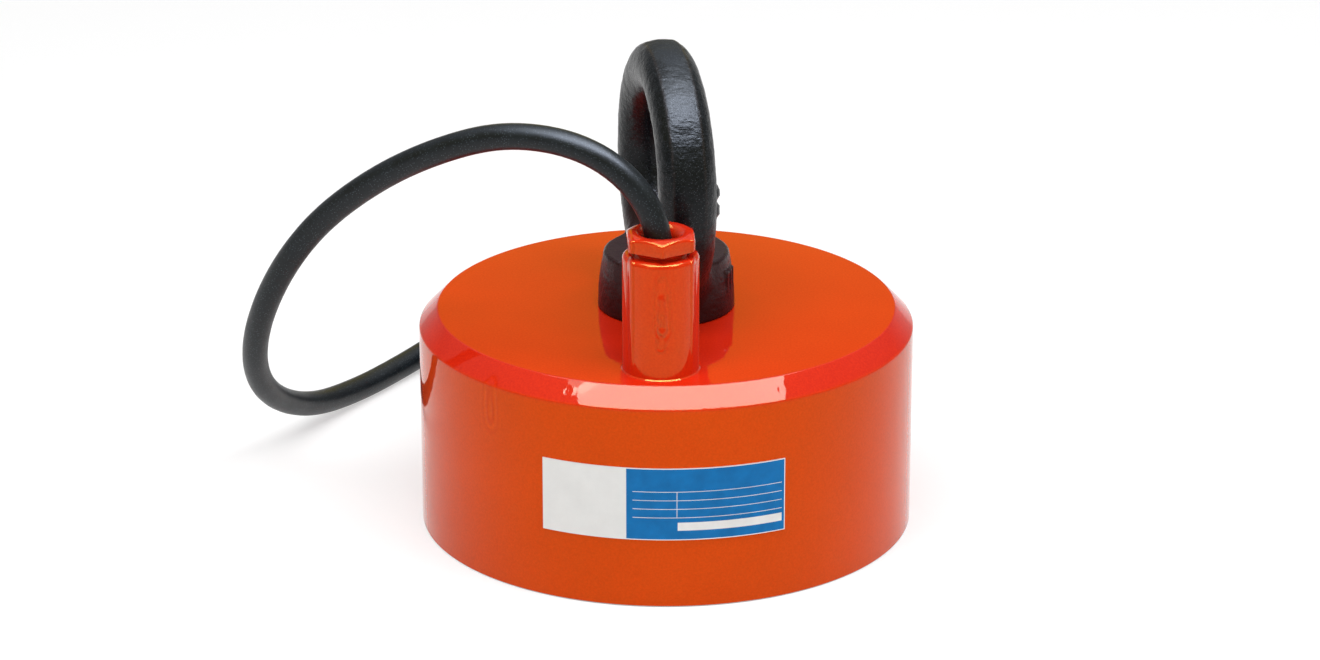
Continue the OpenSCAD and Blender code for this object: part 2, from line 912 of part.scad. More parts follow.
// Insulating insert with a keyway and two holes for the pins
module connector_insert() {
    color([0.15, 0.15, 0.16])
        at_connector()
            difference() {
                translate([coupling_x0 + 3, 0, 0])
                    rotate([0, 90, 0])
                        cylinder(r = insert_r, h = plug_x1 - coupling_x0 - 3);
                for (side = [-1, 1])
                    translate([coupling_x0 + 5, side * pin_pitch / 2, 0])
                        rotate([0, 90, 0])
                            cylinder(d = pin_d + 2 * press_gap, h = plug_l, $fn = 32);
                translate([plug_x1 - 4, -0.8, insert_r - 1.2])
                    cube([4 + cut, 1.6, 2]);
            }
}

// Round contact pin with a domed tip
module contact_pin(side) {
    color([0.83, 0.7, 0.4])
        at_connector()
            translate([0, side * pin_pitch / 2, 0])
                turned() {
                    translate([0, coupling_x0 + 5])
                        square([pin_d / 2, plug_x1 + pin_out - pin_d / 2 - coupling_x0 - 5]);
                    intersection() {
                        translate([0, plug_x1 + pin_out - pin_d / 2])
                            circle(d = pin_d, $fn = 32);
                        translate([0, plug_x1])
                            square([pin_d, pin_out]);
                    }
                }
}

module contact_pin_left() {
    contact_pin(1);
}

module contact_pin_right() {
    contact_pin(-1);
}

magnet_yoke();
coil_former();
coil_winding();
winding_tape();
potting_resin();
face_ring();
eye_bolt();
cable_boss();
gland_nut();
gland_washer_upper();
gland_packing();
gland_washer_lower();
lead_bush();
core_lead_outer();
core_lead_inner();
splice_sleeve_outer();
splice_sleeve_inner();
coil_tail_outer();
coil_tail_inner();
nameplate();
supply_cord();
cord_coil();
cord_tail();
cord_tie();
connector_boot();
connector_clamp_nut();
connector_shell();
connector_ring();
connector_insert();
contact_pin_left();
contact_pin_right();
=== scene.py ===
import math

import bmesh
import bpy
import numpy as np
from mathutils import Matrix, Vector, noise


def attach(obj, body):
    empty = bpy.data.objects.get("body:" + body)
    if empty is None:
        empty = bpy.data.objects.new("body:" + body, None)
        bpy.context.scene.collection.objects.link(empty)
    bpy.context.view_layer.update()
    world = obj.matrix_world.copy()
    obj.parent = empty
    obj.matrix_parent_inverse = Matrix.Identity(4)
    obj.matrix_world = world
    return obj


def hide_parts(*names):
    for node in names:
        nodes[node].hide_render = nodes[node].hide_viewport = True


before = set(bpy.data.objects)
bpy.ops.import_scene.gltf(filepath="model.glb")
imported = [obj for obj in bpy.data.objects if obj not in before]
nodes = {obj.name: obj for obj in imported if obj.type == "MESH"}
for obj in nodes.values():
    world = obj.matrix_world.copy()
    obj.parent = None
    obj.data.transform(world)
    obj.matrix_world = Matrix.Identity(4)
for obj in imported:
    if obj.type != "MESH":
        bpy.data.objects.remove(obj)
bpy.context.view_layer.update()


# The camera stands in front of the cable boss and a little to its right, about 1.9 m away and
# 20 degrees above the table, with a long lens, so that the magnet nearly fills the picture's height.
camera_azimuth = math.radians(1.75)
camera_elevation = math.radians(20.432)
camera_distance = 1.87153
aim_sideways = -0.0025
aim_height = 0.078587
lens_length = 125.83
film_width = 36
farthest_seen = 60
camera_target = Vector((
    aim_sideways * math.cos(camera_azimuth),
    aim_sideways * math.sin(camera_azimuth),
    aim_height,
))
back = Vector((
    math.sin(camera_azimuth) * math.cos(camera_elevation),
    -math.cos(camera_azimuth) * math.cos(camera_elevation),
    math.sin(camera_elevation),
))
camera = bpy.data.objects.new("camera", bpy.data.cameras.new("camera"))
camera.data.lens = lens_length
camera.data.sensor_width = film_width
camera.data.clip_end = farthest_seen
camera.location = camera_target + camera_distance * back
camera.rotation_euler = back.to_track_quat("Z", "Y").to_euler()
bpy.context.scene.collection.objects.link(camera)
bpy.context.scene.camera = camera
bpy.context.scene.view_settings.view_transform = "Standard"


# The supply cord is a two-core cord in a black rubber sheath, 10.5 mm thick. It leaves the gland
# upwards, arches over to the left and comes down to the table. Its stored length lies behind the
# pot in a coil of two turns beside and two on each other, and ends in the connector.
cord_d = 0.0105
cord_step = 0.0035
cord_sides = 24
cord_route = [
    (0, -0.0725, 0.117), (0, -0.0725, 0.13), (-0.0005, -0.0725, 0.14), (-0.002, -0.0725, 0.1485),
    (-0.0058, -0.0723, 0.1575), (-0.0122, -0.0716, 0.1661), (-0.0216, -0.0698, 0.1735),
    (-0.0337, -0.0665, 0.1784), (-0.0479, -0.0615, 0.18), (-0.0647, -0.0545, 0.1778),
    (-0.0833, -0.046, 0.1706), (-0.1031, -0.0361, 0.1593), (-0.123, -0.0258, 0.144),
    (-0.1398, -0.0169, 0.127), (-0.1525, -0.01, 0.109), (-0.162, -0.001, 0.0895),
    (-0.168, 0.0105, 0.0705), (-0.1705, 0.024, 0.053), (-0.1695, 0.039, 0.038),
    (-0.1655, 0.055, 0.026), (-0.1595, 0.072, 0.0168), (-0.152, 0.09, 0.0102),
    (-0.1435, 0.1075, 0.0068), (-0.134, 0.1245, 0.0055), (-0.1245, 0.1415, 0.0053),
    (-0.1153, 0.158, 0.0057), (-0.1065, 0.175, 0.0064),
]
tail_route = [
    (0.02, 0.221, 0.0159), (0.031, 0.2147, 0.0139), (0.042, 0.2083, 0.0135), (0.054, 0.2014, 0.0135),
    (0.063, 0.1962, 0.0135),
]
coil_centre = (-0.036, 0.178)
coil_bearing = 160
coil_inner_radius = 0.05475
coil_height = 0.0064
coil_crossing = 80
coil_step = 10
coil_end = 1180
rubber_dark = (0.0008, 0.0025, 0.004, 1)
rubber_light = (0.0025, 0.0055, 0.008, 1)
rubber_dust = (0.06, 0.076, 0.088, 1)


def spline(points, step):
    """Natural cubic spline through the points, in points about a step apart."""
    points = np.array(points, float)
    gaps = np.linalg.norm(np.diff(points, axis=0), axis=1)
    count = len(points)
    matrix = np.eye(count)
    right = np.zeros((count, 3))
    for i in range(1, count - 1):
        matrix[i, i - 1] = gaps[i - 1]
        matrix[i, i] = 2 * (gaps[i - 1] + gaps[i])
        matrix[i, i + 1] = gaps[i]
        right[i] = 6 * ((points[i + 1] - points[i]) / gaps[i] - (points[i] - points[i - 1]) / gaps[i - 1])
    bend = np.linalg.solve(matrix, right)
    curve = []
    for i in range(count - 1):
        gap = gaps[i]
        for x in np.arange(0, gap, gap / max(1, round(gap / step))):
            y = gap - x
            curve.append(
                bend[i] * y ** 3 / (6 * gap) + bend[i + 1] * x ** 3 / (6 * gap)
                + (points[i] / gap - bend[i] * gap / 6) * y
                + (points[i + 1] / gap - bend[i + 1] * gap / 6) * x
            )
    curve.append(points[-1])
    return np.array(curve)


def eased(turn, start, end):
    """Runs smoothly from 0 to 90 degrees while the coil turns from start to end."""
    share = min(max((turn - start) / (end - start), 0), 1)
    return math.radians(90) * share ** 3 * (10 - 15 * share + 6 * share ** 2)


def coil_point(turn):
    """Point of the coil after so many degrees: outer turn, inner turn, then the upper turns."""
    if turn < 360:
        radius = coil_inner_radius + cord_d * math.cos(eased(turn, 360 - coil_crossing, 360))
        height = coil_height
    elif turn < 720:
        radius = coil_inner_radius
        height = coil_height + cord_d * math.sin(eased(turn, 720 - coil_crossing, 720))
    else:
        share = math.sin(eased(turn, 1080 - coil_crossing, 1080))
        radius = coil_inner_radius + cord_d * math.sqrt(2 * share - share ** 2)
        height = coil_height + cord_d
    angle = math.radians(coil_bearing - turn)
    return (coil_centre[0] + radius * math.cos(angle), coil_centre[1] + radius * math.sin(angle), height)


def add(tree, kind, inputs=None, **settings):
    """Adds a node, sets its settings, and sets or links its inputs."""
    node = tree.nodes.new(kind)
    for name, value in settings.items():
        setattr(node, name, value)
    for name, value in (inputs or {}).items():
        if isinstance(value, bpy.types.NodeSocket):
            tree.links.new(value, node.inputs[name])
        else:
            node.inputs[name].default_value = value
    return node


def new_material(name):
    """Starts a material, and returns it with its tree and the place on the object."""
    material = bpy.data.materials.new(name)
    material.use_nodes = True
    tree = material.node_tree
    return material, tree, add(tree, "ShaderNodeTexCoord").outputs["Object"]


def mottle(tree, place, scale, detail, roughness=0.5):
    """Uneven pattern from 0 to 1, with about so many swells in each metre."""
    return add(tree, "ShaderNodeTexNoise", {
        "Vector": place, "Scale": scale, "Detail": detail, "Roughness": roughness,
    }).outputs["Fac"]


def specks(tree, place, scale):
    """Distance to the nearest of scattered specks, with about so many in each metre."""
    return add(tree, "ShaderNodeTexVoronoi", {"Vector": place, "Scale": scale}).outputs["Distance"]


def remap(tree, value, start, end, low, high, **settings):
    """Runs from low to high as a value runs from start to end, and stays within them."""
    return add(tree, "ShaderNodeMapRange", {
        "Value": value, "From Min": start, "From Max": end, "To Min": low, "To Max": high,
    }, **settings).outputs["Result"]


def two_tone(tree, value, start, dark, end, light):
    """Colour that runs from dark to light as a value runs from start to end."""
    ramp = add(tree, "ShaderNodeValToRGB", {"Fac": value})
    for element, position, colour in zip(ramp.color_ramp.elements, (start, end), (dark, light)):
        element.position = position
        element.color = colour
    return ramp.outputs["Color"]


def blend(tree, factor, under, over):
    """Colour that goes from the one under to the one over it by a factor."""
    mix = add(tree, "ShaderNodeMix", {"Factor": factor, "A": under, "B": over}, data_type="RGBA")
    return mix.outputs["Result"]


def bump(tree, height, distance, under=None):
    """Relief of a pattern, as high as the distance in metres, on the relief under it."""
    inputs = {"Height": height, "Distance": distance}
    if under is not None:
        inputs["Normal"] = under
    return add(tree, "ShaderNodeBump", inputs).outputs["Normal"]


def surface(tree, colour, roughness, relief, specular):
    """Links a material's patterns to its shader, and returns the shader."""
    shader = tree.nodes["Principled BSDF"]
    shader.inputs["Specular IOR Level"].default_value = specular
    tree.links.new(colour, shader.inputs["Base Color"])
    tree.links.new(roughness, shader.inputs["Roughness"])
    tree.links.new(relief, shader.inputs["Normal"])
    return shader


def geometry_tree(name, sizes):
    """Starts a Geometry Nodes tree with named inputs, and returns it with its input node."""
    tree = bpy.data.node_groups.new(name, "GeometryNodeTree")
    tree.interface.new_socket("Geometry", in_out="INPUT", socket_type="NodeSocketGeometry")
    tree.interface.new_socket("Geometry", in_out="OUTPUT", socket_type="NodeSocketGeometry")
    for size, kind in sizes.items():
        tree.interface.new_socket(size, in_out="INPUT", socket_type="NodeSocket" + kind)
    return tree, tree.nodes.new("NodeGroupInput")


def close_tree(tree, geometry, material):
    """Ends a tree in smooth faces, real meshes and one material."""
    smooth = add(tree, "GeometryNodeSetShadeSmooth", {"Geometry": geometry})
    real = add(tree, "GeometryNodeRealizeInstances", {"Geometry": smooth.outputs[0]})
    painted = add(tree, "GeometryNodeSetMaterial", {"Geometry": real.outputs[0], "Material": material})
    add(tree, "NodeGroupOutput", {0: painted.outputs[0]})


def new_piece(name, points, edges=(), faces=()):
    """Makes a mesh object of points in metres."""
    mesh = bpy.data.meshes.new(name)
    mesh.from_pydata([tuple(point) for point in points], list(edges), list(faces))
    piece = bpy.data.objects.new(name, mesh)
    bpy.context.scene.collection.objects.link(piece)
    return piece


def apply_modifier(piece, modifier):
    """Keeps what a modifier makes of a piece as its plain mesh."""
    bpy.context.view_layer.update()
    evaluated = piece.evaluated_get(bpy.context.evaluated_depsgraph_get())
    plain = bpy.data.meshes.new_from_object(evaluated)
    piece.modifiers.remove(modifier)
    piece.data = plain
    plain.name = piece.name


def grow(piece, tree, sizes):
    """Runs a tree on a piece with these input values."""
    modifier = piece.modifiers.new(tree.name, "NODES")
    modifier.node_group = tree
    for item in tree.interface.items_tree:
        if item.name in sizes:
            modifier[item.identifier] = sizes[item.name]
    apply_modifier(piece, modifier)


def line(points, closed=False):
    """Edges that join the points in order."""
    count = len(points)
    return [(i, (i + 1) % count) for i in range(count if closed else count - 1)]


coil_route = [coil_point(turn) for turn in range(0, coil_end + coil_step, coil_step)]
cord_path = spline(cord_route + coil_route + tail_route, cord_step)

rubber, tree, place = new_material("cord rubber")
bloom = mottle(tree, place, 90, 4, 0.6)
black = two_tone(tree, bloom, 0.3, rubber_dark, 0.72, rubber_light)
dust = remap(tree, specks(tree, place, 1100), 0.32, 0.08, 0, 0.7)
surface(
    tree,
    colour=blend(tree, dust, black, rubber_dust),
    roughness=remap(tree, bloom, 0.3, 0.7, 0.33, 0.44),
    relief=bump(tree, mottle(tree, place, 1600, 3, 0.7), 0.00004),
    specular=0.3,
)

sheath, given = geometry_tree("Cord sheath", {"Radius": "Float", "Sides": "Int", "Material": "Material"})
run = add(sheath, "GeometryNodeMeshToCurve", {"Mesh": given.outputs["Geometry"]})
section = add(sheath, "GeometryNodeCurvePrimitiveCircle", {
    "Resolution": given.outputs["Sides"], "Radius": given.outputs["Radius"],
})
tube = add(sheath, "GeometryNodeCurveToMesh", {
    "Curve": run.outputs[0], "Profile Curve": section.outputs["Curve"], "Fill Caps": True,
})
close_tree(sheath, tube.outputs[0], given.outputs["Material"])

cord = new_piece("rubber_cord", cord_path, line(cord_path))
grow(cord, sheath, {"Radius": cord_d / 2, "Sides": cord_sides, "Material": rubber})
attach(cord, "root")
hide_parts("supply_cord", "cord_coil", "cord_tail")


# The tie is a moulded nylon strap with a ratchet head, drawn tight round the stored coil.
# It keeps its solid, and has the plain finish that the small and the inner pieces share.
weld_distance = 0.000005
crease_angle = math.radians(28)

smooth_faces, given = geometry_tree("Smooth faces", {})
joined = add(smooth_faces, "GeometryNodeMergeByDistance", {
    "Geometry": given.outputs["Geometry"], "Distance": weld_distance,
})
angle = add(smooth_faces, "GeometryNodeInputMeshEdgeAngle")
gentle = add(smooth_faces, "FunctionNodeCompare", {
    "A": angle.outputs["Unsigned Angle"], "B": crease_angle,
}, data_type="FLOAT", operation="LESS_THAN")
round_faces = add(smooth_faces, "GeometryNodeSetShadeSmooth", {"Geometry": joined.outputs[0]}, domain="FACE")
creased = add(smooth_faces, "GeometryNodeSetShadeSmooth", {
    "Geometry": round_faces.outputs[0], "Shade Smooth": gentle.outputs["Result"],
}, domain="EDGE")
add(smooth_faces, "NodeGroupOutput", {0: creased.outputs[0]})


def dress(name, material):
    """Gives a CAD node its material, and smooth faces with sharp edges."""
    node = nodes[name]
    node.data.materials.clear()
    node.data.materials.append(material)
    modifier = node.modifiers.new("smooth faces", "NODES")
    modifier.node_group = smooth_faces
    return node


def finish(
    name, colour, roughness, metallic=0.0, spread=0.2, patch=40, grain=900, depth=0.00003, specular=0.5,
):
    """Material with a colour in patches, uneven gloss and a fine grain. Patch and grain are per metre."""
    material, tree, place = new_material(name)
    patches = mottle(tree, place, patch, 4, 0.6)
    fine = mottle(tree, place, grain, 2)
    darker = [part * (1 - spread) for part in colour] + [1]
    lighter = [min(part * (1 + spread), 1) for part in colour] + [1]
    shader = surface(
        tree,
        colour=two_tone(tree, patches, 0.3, darker, 0.7, lighter),
        roughness=remap(tree, fine, 0.3, 0.7, roughness * 0.85, roughness * 1.15),
        relief=bump(tree, fine, depth),
        specular=specular,
    )
    shader.inputs["Metallic"].default_value = metallic
    return material


tie = dress("cord_tie", finish("tie nylon", (0.02, 0.02, 0.022), 0.42, grain=1500))


# The connector is a round two-pole plug of turned and plated metal. A ribbed rubber boot and a
# clamp nut hold the cord, and a knurled ring couples it to its socket. The gilt pins stand in a
# moulded insert.
boot = dress("connector_boot", finish("boot rubber", (0.018, 0.018, 0.019), 0.6, grain=1400))
plated = finish(
    "plated metal", (0.56, 0.57, 0.59), 0.28, metallic=1.0, spread=0.06, patch=120, grain=2500,
    depth=0.000008,
)
clamp_nut = dress("connector_clamp_nut", plated)
shell = dress("connector_shell", plated)
coupling = dress("connector_ring", plated)
insert = dress("connector_insert", finish("insert moulding", (0.025, 0.025, 0.028), 0.5, grain=1800))
gilt = finish("gilt brass", (0.72, 0.5, 0.19), 0.22, metallic=1.0, spread=0.08, patch=300, depth=0.000005)
pins = [dress("contact_pin_left", gilt), dress("contact_pin_right", gilt)]


# The pot is turned from one piece of mild steel: outer pole, centre pole and top plate. It is
# sprayed with glossy orange enamel, which rounds the edges, ripples like orange peel and has run
# in places. The attracting face is left bare and is ground flat. The outline is in millimetres.
pot_radius = 100
pot_height = 90
chamfer = 7.5
edge_round = 1.1
foot_break = 0.6
foot_round = 0.3
core_radius = 49
window_radius = 87
window_top = 65
window_round = 1
seat_step = 1
seat_height = 6
tapping_radius = 15
tapping_break = 0.8
tapping_end = 42
tapping_point = 32.99
spigot_radius = 12
spigot_floor = 80
bush_radius = 4.95
boss_axis = (0, -0.0725)
pot_segments = 320
bore_sides = 64
overrun = 5
mandrel_radius = 0.01
merge_distance = 0.000002
# Yellow added to the wall's paint is a painted reflection of the pale table in the wall.
table_reflection_yellow = (0.01, 0.034, 0, 1)
top_gleam = (0.62, 0.9, 0.6, 1)
wall_gleam = (1, 0.95, 0.12, 1)
boss_gleam = (1, 0.92, 0.2, 1)
run_red = (0.5, 0.01, 0.003, 1)
run_stretch = 0.7
run_unevenness = 0.4
ripple_that_reddens = 9


def calculate(tree, operation, *values):
    """Result of one step of arithmetic on sockets and numbers."""
    return add(tree, "ShaderNodeMath", dict(enumerate(values)), operation=operation).outputs[0]


def sag(tree, place, centre, size, ripple):
    """Height of a run in the paint: a ridge or fading ripples, drawn out upwards. Sizes are in metres."""
    offset = add(tree, "ShaderNodeVectorMath", {0: place, 1: centre}, operation="SUBTRACT")
    shares = add(tree, "ShaderNodeVectorMath", {
        0: offset.outputs[0], 1: [1 / part for part in size],
    }, operation="MULTIPLY")
    split = add(tree, "ShaderNodeSeparateXYZ", {0: shares.outputs[0]})
    above = calculate(tree, "MAXIMUM", split.outputs["Z"], 0.0)
    drawn_out = add(tree, "ShaderNodeCombineXYZ", {
        "X": split.outputs["X"], "Y": split.outputs["Y"],
        "Z": calculate(tree, "MULTIPLY_ADD", above, -run_stretch, split.outputs["Z"]),
    })
    reach = add(tree, "ShaderNodeVectorMath", {0: drawn_out.outputs[0]}, operation="LENGTH").outputs["Value"]
    uneven = calculate(tree, "MULTIPLY_ADD", mottle(tree, place, 160, 2), run_unevenness, reach)
    crest = calculate(tree, "COSINE", calculate(tree, "MULTIPLY", uneven, ripple))
    fade = remap(tree, reach, 1.0, 0.2, 0, 1, interpolation_type="SMOOTHSTEP")
    return calculate(tree, "MULTIPLY", crest, fade)


def enamel_of(name, runs, greens, specular, wall_top=0.0):
    """The orange enamel, with runs (centre, size, ripple, depth); below wall_top a painted reflection of the
    table makes it yellower.
    """
    material, tree, place = new_material(name)
    broad = mottle(tree, place, 42, 1)
    tone = add(tree, "ShaderNodeMix", {
        "Factor": 0.6, "A": mottle(tree, place, 16, 3), "B": mottle(tree, place, 1200, 2),
    }).outputs["Result"]
    orange = two_tone(tree, tone, 0.35, (0.6, greens[0], 0.004, 1), 0.65, (0.72, greens[1], 0.005, 1))
    above_table = add(tree, "ShaderNodeSeparateXYZ", {0: place}).outputs["Z"]
    # Below the wall's top edge a yellow is added to the orange: a painted reflection of the pale table.
    wall = remap(tree, above_table, wall_top + 0.001, wall_top - 0.001, 0, 1)
    painted_table_reflection = blend(tree, wall, (0, 0, 0, 1), table_reflection_yellow)
    paint = add(tree, "ShaderNodeVectorMath", {0: orange, 1: painted_table_reflection}, operation="ADD").outputs[0]
    relief = bump(tree, broad, 0.00012)
    relief = bump(tree, mottle(tree, place, 330, 1.5), 0.00003, relief)
    for centre, size, ripple, depth in runs:
        run = sag(tree, place, centre, size, ripple)
        relief = bump(tree, run, depth, relief)
        # Runs with many ripples get darker red lines along their crests.
        if ripple > ripple_that_reddens:
            paint = blend(tree, remap(tree, run, -0.6, 0.9, 0, 0.35), paint, run_red)
    shader = surface(tree, paint, remap(tree, broad, 0.3, 0.7, 0.025, 0.05), relief, specular)
    if wall_top:
        tree.links.new(blend(tree, wall, top_gleam, wall_gleam), shader.inputs["Specular Tint"])
    else:
        shader.inputs["Specular Tint"].default_value = boss_gleam
    return material


def corner(before, at, after, radius, count=5):
    """Points of a rounded corner of an outline."""
    before, at, after = (Vector(point) for point in (before, at, after))
    into = (before - at).normalized()
    out = (after - at).normalized()
    half = into.angle(out) / 2
    reach = radius / math.tan(half)
    centre = at + (into + out).normalized() * radius / math.sin(half)
    first = at + into * reach - centre
    last = at + out * reach - centre
    sweep = first.angle(last)
    points = []
    for i in range(count + 1):
        share = i / count
        arm = (math.sin((1 - share) * sweep) * first + math.sin(share * sweep) * last) / math.sin(sweep)
        points.append(tuple(centre + arm))
    return points


def outline(corners):
    """Outline through (radius, height, rounding) corners; the first and the last stay sharp."""
    points = []
    for i, (radius, height, rounding) in enumerate(corners):
        if rounding and 0 < i < len(corners) - 1:
            points += corner(corners[i - 1][:2], (radius, height), corners[i + 1][:2], rounding)
        else:
            points.append((radius, height))
    return points


turning, given = geometry_tree("Turned piece", {
    "Mandrel Radius": "Float", "Segments": "Int", "Material": "Material",
})
inward = add(turning, "ShaderNodeCombineXYZ", {
    "X": calculate(turning, "MULTIPLY", given.outputs["Mandrel Radius"], -1.0),
})
moved = add(turning, "GeometryNodeTransform", {
    "Geometry": given.outputs["Geometry"], "Translation": inward.outputs[0],
})
profile = add(turning, "GeometryNodeMeshToCurve", {"Mesh": moved.outputs[0]})
mandrel = add(turning, "GeometryNodeCurvePrimitiveCircle", {
    "Resolution": given.outputs["Segments"], "Radius": given.outputs["Mandrel Radius"],
})
upright = add(turning, "GeometryNodeSetCurveNormal", {"Curve": mandrel.outputs["Curve"]}, mode="Z_UP")
turned = add(turning, "GeometryNodeCurveToMesh", {
    "Curve": upright.outputs[0], "Profile Curve": profile.outputs[0],
})
sealed = add(turning, "GeometryNodeMergeByDistance", {
    "Geometry": turned.outputs[0], "Distance": merge_distance,
})
close_tree(turning, sealed.outputs[0], given.outputs["Material"])


def turn_piece(name, corners, segments, material, closed, axis=(0, 0)):
    """Turned mesh of an outline in millimetres, with outward faces, about an upright axis."""
    points = [(radius / 1000, -height / 1000, 0) for radius, height in outline(corners)]
    piece = new_piece(name, points, line(points, closed))
    grow(piece, turning, {"Mandrel Radius": mandrel_radius, "Segments": segments, "Material": material})
    tidy_mesh(piece, axis)
    return piece


def tidy_mesh(piece, axis=(0, 0), sharp=32):
    """Moves a mesh to its axis, turns its faces outwards and keeps edges sharp above an angle."""
    mesh = bmesh.new()
    mesh.from_mesh(piece.data)
    bmesh.ops.translate(mesh, verts=mesh.verts, vec=(axis[0], axis[1], 0))
    bmesh.ops.recalc_face_normals(mesh, faces=mesh.faces)
    mesh.to_mesh(piece.data)
    mesh.free()
    piece.data.shade_smooth()
    piece.data.set_sharp_from_angle(angle=math.radians(sharp))


def bore(piece, radius, low, high, axis):
    """Cuts an upright round hole. Its radius and heights are in millimetres."""
    ring = [
        (
            radius / 1000 * math.cos(math.tau * i / bore_sides) + axis[0],
            radius / 1000 * math.sin(math.tau * i / bore_sides) + axis[1],
        )
        for i in range(bore_sides)
    ]
    points = [(x, y, low / 1000) for x, y in ring] + [(x, y, high / 1000) for x, y in ring]
    faces = [(i, k, bore_sides + k, bore_sides + i) for i, k in line(ring, True)]
    faces += [tuple(range(bore_sides - 1, -1, -1)), tuple(range(bore_sides, 2 * bore_sides))]
    drill = new_piece("drill", points, (), faces)
    modifier = piece.modifiers.new("bore", "BOOLEAN")
    modifier.object = drill
    modifier.solver = "EXACT"
    apply_modifier(piece, modifier)
    bpy.data.objects.remove(drill)


pot_enamel = enamel_of("orange enamel", [
    ((-0.067, -0.0745, 0.0705), (0.0075, 0.0075, 0.013), 16, 0.00004),
    ((0.052, -0.083, 0.083), (0.008, 0.008, 0.006), 8, 0.00003),
    ((-0.0355, -0.0895, 0.0865), (0.0045, 0.0045, 0.006), 9, 0.00003),
    ((0.0475, -0.0845, 0.0865), (0.004, 0.004, 0.006), 7, 0.00002),
], (0.016, 0.027), 0.26, wall_top=0.0823)
ground = finish(
    "ground steel", (0.5, 0.5, 0.51), 0.3, metallic=1.0, spread=0.1, patch=25, grain=600, depth=0.000006,
)
pot = turn_piece("enamelled_pot", [
    (0, 0, 0), (core_radius - seat_step, 0, foot_round), (core_radius - seat_step, seat_height, 0),
    (core_radius, seat_height, 0), (core_radius, window_top, window_round),
    (window_radius, window_top, window_round), (window_radius, seat_height, 0),
    (window_radius + seat_step, seat_height, 0), (window_radius + seat_step, 0, foot_round),
    (pot_radius - foot_break, 0, 0), (pot_radius, foot_break, foot_round),
    (pot_radius, pot_height - chamfer, edge_round), (pot_radius - chamfer, pot_height, edge_round),
    (tapping_radius + tapping_break, pot_height, 0), (tapping_radius, pot_height - tapping_break, 0),
    (tapping_radius, tapping_end, 0), (0, tapping_point, 0),
], pot_segments, pot_enamel, False)
bore(pot, spigot_radius, spigot_floor, pot_height + 2 * overrun, boss_axis)
bore(pot, bush_radius, window_top - overrun, spigot_floor + overrun, boss_axis)
pot.data.materials.append(ground)
slack = 0.5
for face in pot.data.polygons:
    radius = face.center.xy.length * 1000
    height = face.center.z * 1000
    to_boss = (face.center.xy - Vector(boss_axis)).length * 1000
    unpainted = (
        height < slack
        or radius < tapping_radius + slack
        or radius < window_radius + seat_step + slack and height < window_top + slack
        or to_boss < spigot_radius + slack and height < pot_height - slack
    )
    face.material_index = int(unpainted)
tidy_mesh(pot)
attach(pot, "root")
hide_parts("magnet_yoke")


# Inside the pot the coil is wound of enamelled copper wire on a moulded bobbin, taped, set in
# cast resin and closed by a turned brass ring, which the magnetic field passes by.
dress("coil_former", finish("bobbin moulding", (0.024, 0.024, 0.027), 0.5))
dress("coil_winding", finish("winding wire", (0.5, 0.16, 0.05), 0.3, metallic=0.8, grain=700, depth=0.0002))
dress("winding_tape", finish("glass tape", (0.62, 0.55, 0.38), 0.8, grain=1200, depth=0.0001))
dress("potting_resin", finish("casting resin", (0.075, 0.014, 0.008), 0.25))
dress("face_ring", finish("turned brass", (0.6, 0.42, 0.17), 0.3, metallic=1.0, spread=0.08, grain=500))


# The cable boss is a round steel post, set in the top plate by a spigot and welded round its foot,
# then sprayed together with the pot, so that the paint has run down its front. The outline is in
# millimetres.
boss_radius = 15
boss_top = 137.5
boss_round = 2
weld_leg = 0.5
weld_round = 0.45
gland_bore = 10.5
gland_break = 0.8
gland_round = 0.4
gland_floor = 114.5
cord_way = 6
spigot_gap = 0.05
boss_segments = 128

boss_enamel = enamel_of("boss enamel", [
    ((0.001, -0.0875, 0.1125), (0.0056, 0.01, 0.0115), 15, 0.0003),
    ((0.0005, -0.0875, 0.1035), (0.0045, 0.01, 0.004), 10, 0.00018),
    ((-0.0112, -0.0825, 0.115), (0.0018, 0.006, 0.03), 0.6, 0.0008),
    ((0.0128, -0.0805, 0.115), (0.0013, 0.006, 0.026), 0.6, 0.0005),
], (0.018, 0.031), 0.5)
boss = turn_piece("enamelled_boss", [
    (boss_radius + weld_leg, pot_height, 0), (boss_radius, pot_height + weld_leg, weld_round),
    (boss_radius, boss_top, boss_round), (gland_bore + gland_break, boss_top, gland_round),
    (gland_bore, boss_top - gland_break, 0), (gland_bore, gland_floor, 0), (cord_way, gland_floor, 0),
    (cord_way, spigot_floor, 0), (spigot_radius - spigot_gap, spigot_floor, 0),
    (spigot_radius - spigot_gap, pot_height, 0),
], boss_segments, boss_enamel, True, boss_axis)
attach(boss, "root")
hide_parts("cable_boss")


# The gland nut is a hexagon screw with a bell mouth. It squeezes a rubber packing between two
# washers round the cord, and it was painted in place. Its sizes are in millimetres.
corner_bearing = math.radians(4.75 - 90)
corner_softness = 60
nut_flats = 26
nut_low = 140
nut_high = 146.2
nut_end = 129.5
nut_bore = 6.4
nut_sides = 180
face_slope = math.tan(math.radians(30))
face_radius = 11
face_blend = 0.4
face_dip = 0.01
foot_edge = ((1.3, 0), (0.5, 0), (0.15, 0.15), (0, 0.5))
top_edge = ((0, 1.2), (0.09, 0.72), (0.35, 0.31), (0.75, 0.06))
crown_in = 1.3
crown_rise = 0.2
crown_gap = 0.05
bell_radius = 5.5
bell_depth = bell_radius * 0.9
bell_start = 0.97
bell_points = 10
bell_lip = 0.25
thread_crest = 10.4
thread_root = 9.7
thread_pitch = 1.5
thread_turns = 7
thread_start = nut_low - 0.3
screw_end_radius = 10


def hexagon_radius(angle, flats, softness):
    """Distance from the axis to the side of a hexagon whose corners are a little rounded."""
    total = 0
    for side in range(6):
        reach = math.cos(angle - math.radians(60 * side + 30))
        if reach > 0:
            total += (reach / (flats / 2)) ** softness
    return total ** (-1 / softness)


